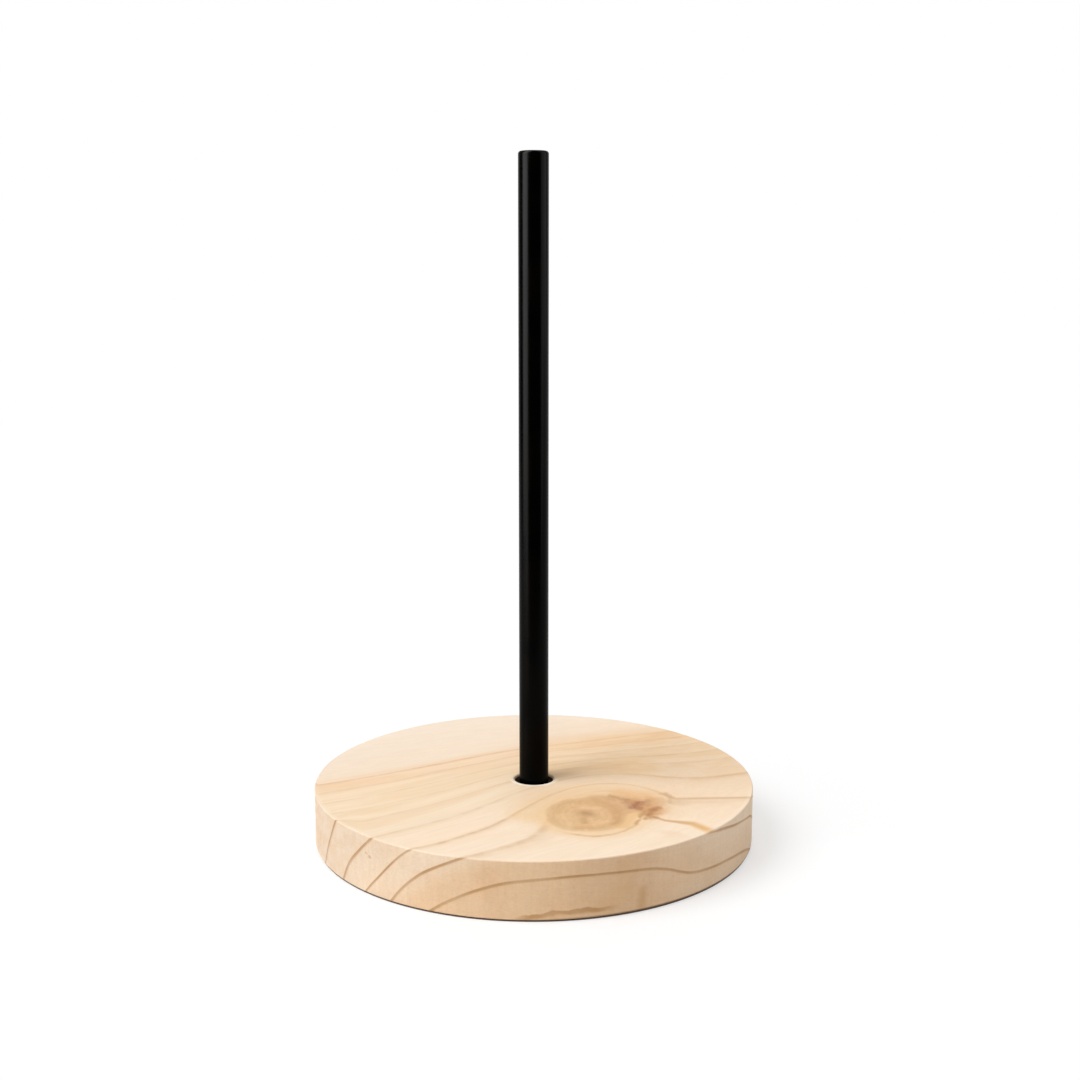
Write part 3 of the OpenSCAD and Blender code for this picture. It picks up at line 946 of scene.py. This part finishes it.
# Painted shade: the hole's wall below its mouth is dark.
HOLE_SHADE_EDGE = (HOLE_RADIUS + 0.1, HOLE_RADIUS + 0.3, 0.85, 0.0)
HOLE_SHADE_HEIGHTS = (TOP_HEIGHT - 0.9, TOP_HEIGHT - 0.5)
HOLE_SHADE_TINT = screen_colour(60, 40, 27)


def add_edges(desk, colour, y, from_axis, height):
    """A painted highlight on the fronts of the outer rim and of the hole's rim, and a painted shade on the
    hole's wall.
    """
    outer = (OUTER_EDGE, OUTER_HEIGHTS, OUTER_FRONT)
    inner = (INNER_EDGE, INNER_HEIGHTS, INNER_FRONT)
    # Painted highlight on the fronts of both rims.
    for edge, heights, front in (outer, inner):
        edge_highlight = desk.times(desk.rise(from_axis, *edge), desk.rise(height, *heights))
        colour = desk.mix(desk.times(edge_highlight, desk.fall(y, *front)), colour, EDGE_HIGHLIGHT_TINT)
    # Painted shade on the hole's wall.
    hole_shade = desk.times(desk.rise(from_axis, *HOLE_SHADE_EDGE), desk.fall(height, *HOLE_SHADE_HEIGHTS))
    return desk.mix(hole_shade, colour, HOLE_SHADE_TINT)


# %% Fibres
FINE_FIBRES = (0.05, 1.6, 3.0)
FINE_TONE = (0.25, 0.75, 0.975, 1.025)
BROAD_FIBRES = (0.016, 0.33, 2.0)
BROAD_CUT = (0.35, 0.65)
STREAK_SHARES = [(0.0, 0.25), (62.0, 0.3), (72.0, 1.0), (97.0, 1.0), (101.0, 0.2), (130.0, 0.2)]
STREAK_TINT = screen_colour(251, 245, 236)
SAW_DRAWN = (1.0, 1.0, 0.10)
SAW_FUZZ = (1.1, 3.0)
FUZZ_TONE = (0.3, 0.7, -0.018, 0.018)
WALL_GRAIN = (1.8, 2.0, 0.3, 0.7, -0.022, 0.022)


def fibre_noise(desk, grain, along_fineness, fineness, detail):
    """Noise drawn out along the grain."""
    drawn = desk.vector_math("MULTIPLY", grain, (along_fineness, fineness, fineness))
    return desk.noise(drawn, 1.0, detail)


def add_fibres(desk, colour, place, radius, fibres, fuzz, on_wall):
    """Gives the colour the tone of fine fibres, of the wall's fuzz and grain, and of broad streaks."""
    fine, broad = fibres
    wall_tone = desk.plus(desk.rise(fuzz, *FUZZ_TONE), desk.patches(place, *WALL_GRAIN))
    tone = desk.math("MULTIPLY_ADD", wall_tone, on_wall, desk.rise(fine, *FINE_TONE))
    colour = desk.mix(1.0, colour, desk.join(tone, tone, tone), "MULTIPLY")
    streak = desk.times(desk.rise(broad, *BROAD_CUT), by_radius(desk, radius, greys(STREAK_SHARES)))
    return desk.mix(streak, colour, STREAK_TINT, "MULTIPLY")


# %% Pine material
ON_WALL = (RIM_RADIUS - 0.5, RIM_RADIUS - 0.1)
ON_TOP = (TOP_HEIGHT - 0.7, TOP_HEIGHT - 0.3)
PINE_ROUGHNESS = (0.2, 0.8, 0.58, 0.7)
LINE_POLISH = 0.1
FINE_RELIEF = 0.5
PINE_BUMP = (0.05 * MM, 0.5)
PINE_SPECULAR = 0.2


def pine_wood():
    material, desk, shader = new_material("pine_wood")
    place = place_in_mm(desk)
    x, y, height = desk.split(place)
    from_axis = desk.length(x, y, 0.0)
    on_wall = desk.rise(from_axis, *ON_WALL)
    radius, along, round_pith = ring_radius(desk, place)
    radius = wandering(desk, radius, place)
    lines = ring_lines(desk, place, radius, on_wall)
    pale, plain = plain_wood(desk, x, radius, lines, on_wall)
    colour = desk.mix(desk.rise(height, *ON_TOP), plain, marked_top(desk, place, pale, plain))
    grain = desk.join(along, radius, round_pith)
    fine, broad = [fibre_noise(desk, grain, *fibres) for fibres in (FINE_FIBRES, BROAD_FIBRES)]
    fuzz = desk.noise(desk.vector_math("MULTIPLY", place, SAW_DRAWN), *SAW_FUZZ)
    colour = add_fibres(desk, colour, place, radius, (fine, broad), fuzz, on_wall)
    colour = add_wall_marks(desk, colour, place, on_wall)
    colour = add_edges(desk, colour, y, from_axis, height)
    roughness = desk.math("SUBTRACT", desk.rise(fine, *PINE_ROUGHNESS), desk.times(lines, LINE_POLISH))
    relief = desk.plus(desk.times(fuzz, on_wall), desk.times(fine, FINE_RELIEF))
    desk.fill(shader, {"Base Color": colour, "Roughness": roughness,
                       "Normal": desk.bump(relief, *PINE_BUMP), "Specular IOR Level": PINE_SPECULAR})
    return material


PINE = pine_wood()
print("the pine material has", len(PINE.node_tree.nodes), "nodes")

# %% [markdown]
# ## The base
#
# The base is a disc sawn from a board, turned to a true round and sanded, with both rims just broken so
# that they don't splinter. Its stepped hole comes from below: a recess for the steel plate, the bearing's
# pocket, a relief over the inner ring, and the mouth, which clears the spindle all round. All these radii
# come from the pieces that they fit.

# %% Turn the base
BASE_STEPS = 288
UPPER_EASING = 0.35
LOWER_EASING = 0.3
MOUTH_EASING = 0.6
PRESS_GAP = 0.02
PLATE_GAP = 0.1
TURN_GAP = 0.4

ring_low, ring_high = (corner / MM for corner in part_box("bearing_outer_ring"))
relief_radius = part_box("bearing_upper_shield")[1].x / MM
pocket_radius = ring_high.x + PRESS_GAP
recess_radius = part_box("bearing_retainer")[1].x / MM + PLATE_GAP
relief_height = ring_high.z + TURN_GAP
base_corners = [
    (HOLE_RADIUS, TOP_HEIGHT, MOUTH_EASING),
    (RIM_RADIUS, TOP_HEIGHT, UPPER_EASING),
    (RIM_RADIUS, BASE_BOTTOM, LOWER_EASING),
    (recess_radius, BASE_BOTTOM, 0),
    (recess_radius, ring_low.z, 0),
    (pocket_radius, ring_low.z, 0),
    (pocket_radius, ring_high.z, 0),
    (relief_radius, ring_high.z, 0),
    (relief_radius, relief_height, 0),
    (HOLE_RADIUS, relief_height, 0),
]
base_piece = turn_piece("turned_base", eased_outline(base_corners, True), BASE_STEPS, PINE)
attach(base_piece, "base")
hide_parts("base")

# %% [markdown]
# ## Marks that many finishes share
#
# Nothing that is handled stays even. Fingers leave faint smudges, and small knocks leave hair scratches.
# Both are noise, so one node group makes them for every metal here. It puts out a smudge mask and a
# height for the scratches, and each material sets its own sizes and decides how much it shows.

# %% Handling group
SMUDGE_DETAIL = 4.0
SMUDGE_CUT = (0.35, 0.65)
SCRATCH_DRAWN = (1.0, 1.0, 0.04)
SCRATCH_DETAIL = 2.0


def handling_group():
    tree = bpy.data.node_groups.new("handling_marks", "ShaderNodeTree")
    desk = NodeDesk(tree)
    sizes = {"Smudge Fineness": "Float", "Scratch Fineness": "Float"}
    add_sockets(tree, "INPUT", {"Place": "Vector", **sizes})
    add_sockets(tree, "OUTPUT", {"Smudge": "Float", "Scratch Height": "Float"})
    given = desk.put("NodeGroupInput").outputs
    smudge = desk.patches(given["Place"], given["Smudge Fineness"], SMUDGE_DETAIL, *SMUDGE_CUT)
    drawn_out = desk.vector_math("MULTIPLY", given["Place"], SCRATCH_DRAWN)
    scratches = desk.noise(drawn_out, given["Scratch Fineness"], SCRATCH_DETAIL)
    desk.put("NodeGroupOutput", {"Smudge": smudge, "Scratch Height": scratches})
    return tree


HANDLING = handling_group()


def handling_marks(desk, place, smudge_fineness, scratch_fineness):
    inputs = {"Place": place, "Smudge Fineness": smudge_fineness, "Scratch Fineness": scratch_fineness}
    node = desk.put("ShaderNodeGroup", node_tree=HANDLING)
    desk.fill(node, inputs)
    return node.outputs["Smudge"], node.outputs["Scratch Height"]


print("the handling group has", len(HANDLING.nodes), "nodes")

# %% [markdown]
# ## The spindle
#
# The spindle is a stock steel rod under a semi-gloss black coat. A coat like this is never a mirror: it
# has a faint orange-peel skin, which spreads the softbox into a soft stripe. The colour is nearly black,
# so all that shows is gloss, and the roughness is what has to be right. Its lower end is turned down to
# the bearing's bore and drilled for the screw.

# %% Black coat
COAT_TINT = screen_colour(1, 1, 1)
COAT_WORN = screen_colour(4, 3, 2)
COAT_HANDLING = (0.08, 1.2)
COAT_ROUGHNESS = (0.20, 0.25)
COAT_PEEL = (1.1, 1.0)
COAT_SCRATCHES = 0.15
COAT_BUMP = (0.02 * MM, 0.25)
COAT_SPECULAR = 0.036


def black_coat():
    material, desk, shader = new_material("black_coated_steel")
    place = place_in_mm(desk)
    smudge, scratches = handling_marks(desk, place, *COAT_HANDLING)
    peel = desk.plus(desk.noise(place, *COAT_PEEL), desk.times(scratches, COAT_SCRATCHES))
    desk.fill(shader, {"Base Color": desk.mix(smudge, COAT_TINT, COAT_WORN),
                       "Roughness": desk.rise(smudge, 0.0, 1.0, *COAT_ROUGHNESS),
                       "Normal": desk.bump(peel, *COAT_BUMP), "Specular IOR Level": COAT_SPECULAR})
    return material


BLACK_COAT = black_coat()

# %% Turn the spindle
ROD_STEPS = 96
TIP_EASING = 0.8
SCREW_HOLE_RADIUS = 1.6
SCREW_HOLE_TOP = 10.2
JOURNAL_RADIUS = 2.98

rod_low, rod_high = (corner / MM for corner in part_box("spindle_rod"))
rod_corners = [
    (0, rod_high.z, 0),
    (ROD_RADIUS, rod_high.z, TIP_EASING),
    (ROD_RADIUS, ring_high.z, 0),
    (JOURNAL_RADIUS, ring_high.z, 0),
    (JOURNAL_RADIUS, rod_low.z, 0),
    (SCREW_HOLE_RADIUS, rod_low.z, 0),
    (SCREW_HOLE_RADIUS, SCREW_HOLE_TOP, 0),
    (0, SCREW_HOLE_TOP, 0),
]
rod_piece = turn_piece("turned_spindle", eased_outline(rod_corners, False), ROD_STEPS, BLACK_COAT)
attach(rod_piece, "spindle")
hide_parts("spindle_rod")

# %% [markdown]
# ## The hidden metal
#
# Inside the base sit a ball bearing, the plate that holds it up, and a few screws. Their CAD shapes are
# right as they are, so they only get finishes. Turned and ground steel has fine grooves that run round
# its axis: noise that depends on the distance from the axis and on the height alone, which makes rings.

# %% Bright metals
METALS = [
    ("bearing_steel", (214, 214, 217), (188, 188, 190), 0.14, 0.2),
    ("shield_steel", (205, 205, 208), (180, 180, 182), 0.3, 0.35),
    ("zinc_plated_steel", (206, 210, 216), (182, 186, 190), 0.26, 0.3),
    ("black_oxide_steel", (52, 51, 54), (38, 36, 37), 0.38, 0.3),
]
METAL_GROOVES = (9.0, 2.0)
METAL_HANDLING = (0.35, 3.0)
METAL_DULLING = 0.12
METAL_SCRATCHES = 0.3
GROOVE_DEPTH = 0.01 * MM


def bright_metal(name, tint, dull_tint, roughness, groove):
    """Metal with fine turning grooves and a few smudges. groove is how much relief the grooves have."""
    material, desk, shader = new_material(name)
    place = place_in_mm(desk)
    x, y, height = desk.split(place)
    grooves = desk.noise(desk.join(desk.length(x, y, 0.0), 0.0, height), *METAL_GROOVES)
    smudge, scratches = handling_marks(desk, place, *METAL_HANDLING)
    relief = desk.math("MULTIPLY_ADD", scratches, METAL_SCRATCHES, grooves)
    desk.fill(shader, {"Base Color": desk.mix(smudge, screen_colour(*tint), screen_colour(*dull_tint)),
                       "Roughness": desk.rise(smudge, 0.0, 1.0, roughness, roughness + METAL_DULLING),
                       "Normal": desk.bump(relief, GROOVE_DEPTH, groove), "Metallic": 1.0})
    return material


metal_finishes = [bright_metal(*metal) for metal in METALS]
print("the hidden metal has", len(metal_finishes), "finishes")

# %% [markdown]
# ## Nylon and rubber
#
# The cage that spaces the balls is moulded nylon, cream-coloured and slightly mottled. The disc under the
# base is thin dark brown rubber. From the side it is only a fine dark line, but from below it is a whole
# face, with the pebbled skin that rubber sheet is rolled with.

# %% Nylon
NYLON_TINT = screen_colour(233, 222, 196)
NYLON_DARK = screen_colour(219, 204, 172)
NYLON_MOTTLE = (0.9, 3.0)
NYLON_ROUGHNESS = (0.3, 0.7, 0.45, 0.58)
NYLON_SKIN = (5.0, 2.0)
NYLON_BUMP = (0.01 * MM, 0.3)


def cage_nylon():
    material, desk, shader = new_material("cage_nylon")
    place = place_in_mm(desk)
    mottle = desk.noise(place, *NYLON_MOTTLE)
    desk.fill(shader, {"Base Color": desk.mix(mottle, NYLON_TINT, NYLON_DARK),
                       "Roughness": desk.rise(mottle, *NYLON_ROUGHNESS),
                       "Normal": desk.bump(desk.noise(place, *NYLON_SKIN), *NYLON_BUMP)})
    return material


NYLON = cage_nylon()

# %% Rubber
RUBBER_TINT = screen_colour(88, 70, 57)
RUBBER_DUST = screen_colour(108, 93, 80)
PEBBLE_FINENESS = 0.9
DUST_NOISE = (0.12, 4.0)
DUST_VALLEYS = (0.2, 0.7)
RUBBER_ROUGHNESS = (0.1, 0.6, 0.62, 0.85)
RUBBER_BUMP = (0.08 * MM, 0.5)
RUBBER_SPECULAR = 0.3


def dark_rubber():
    material, desk, shader = new_material("dark_rubber")
    place = place_in_mm(desk)
    pebbles = desk.put("ShaderNodeTexVoronoi", feature="SMOOTH_F1")
    desk.fill(pebbles, {"Vector": place, "Scale": PEBBLE_FINENESS})
    valley = pebbles.outputs["Distance"]
    dust = desk.times(desk.noise(place, *DUST_NOISE), desk.rise(valley, *DUST_VALLEYS))
    pebble_height = desk.math("SUBTRACT", 1.0, valley)
    desk.fill(shader, {"Base Color": desk.mix(dust, RUBBER_TINT, RUBBER_DUST),
                       "Roughness": desk.rise(valley, *RUBBER_ROUGHNESS),
                       "Normal": desk.bump(pebble_height, *RUBBER_BUMP),
                       "Specular IOR Level": RUBBER_SPECULAR})
    return material


RUBBER = dark_rubber()

# %% [markdown]
# ## Finishes onto the CAD pieces
#
# The record names a material slot for each CAD piece. This loop puts the finish of that name on each one,
# so no piece is left with its plain CAD colour.

# %% Assign finishes
finishes = [PINE, BLACK_COAT, *metal_finishes, NYLON, RUBBER]
finish_by_slot = {finish.name.split(".")[0]: finish for finish in finishes}
for part in frame["record"]["subparts"]:
    node = frame["nodes"][part["node"]]
    node.data.materials.clear()
    node.data.materials.append(finish_by_slot[part["material_slot"]])
